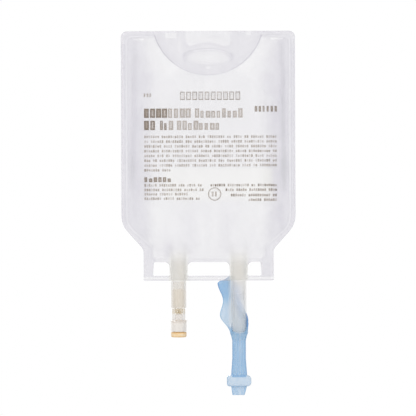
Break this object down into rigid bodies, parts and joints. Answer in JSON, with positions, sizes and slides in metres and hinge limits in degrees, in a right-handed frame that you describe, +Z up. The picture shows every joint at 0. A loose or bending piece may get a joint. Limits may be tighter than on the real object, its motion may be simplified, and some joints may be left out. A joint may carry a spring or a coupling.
{
  "type": "iv fluid bag",
  "caption": "Empty flat infusion bag of frosted film with a hanger slit, a skirt with cut windows, a medication port with a rubber septum and a spike port in a pull-off blue protector.",
  "frame": {"origin": "middle of the hanger slit's upper edge, where a hook bears, midway between the two films", "axes": "+Z up, from the ports to the hanger; the printed front faces -Y; +X to the right seen from the front, towards the spike port's side"},
  "size_m": [0.09, 0.0103, 0.1882],
  "materials": {
    "film": "frosted translucent soft film",
    "port_tube": "milky translucent soft tube",
    "sleeve": "clear turned plastic",
    "septum": "matt tan rubber",
    "protector": "satin translucent blue plastic"
  },
  "bodies": {
    "root": {"bag_front_film": "film", "bag_back_film": "film", "medication_port_tube": "port_tube", "injection_site_sleeve": "sleeve", "injection_septum": "septum", "administration_port_tube": "port_tube", "port_membrane": "port_tube"},
    "protector": {"port_protector": "protector"}
  },
  "joints": [
    {"name": "protector_pull", "type": "slide", "parent": "root", "child": "protector", "axis": [0, 0, -1], "range_m": [0, 0.04]}
  ]
}
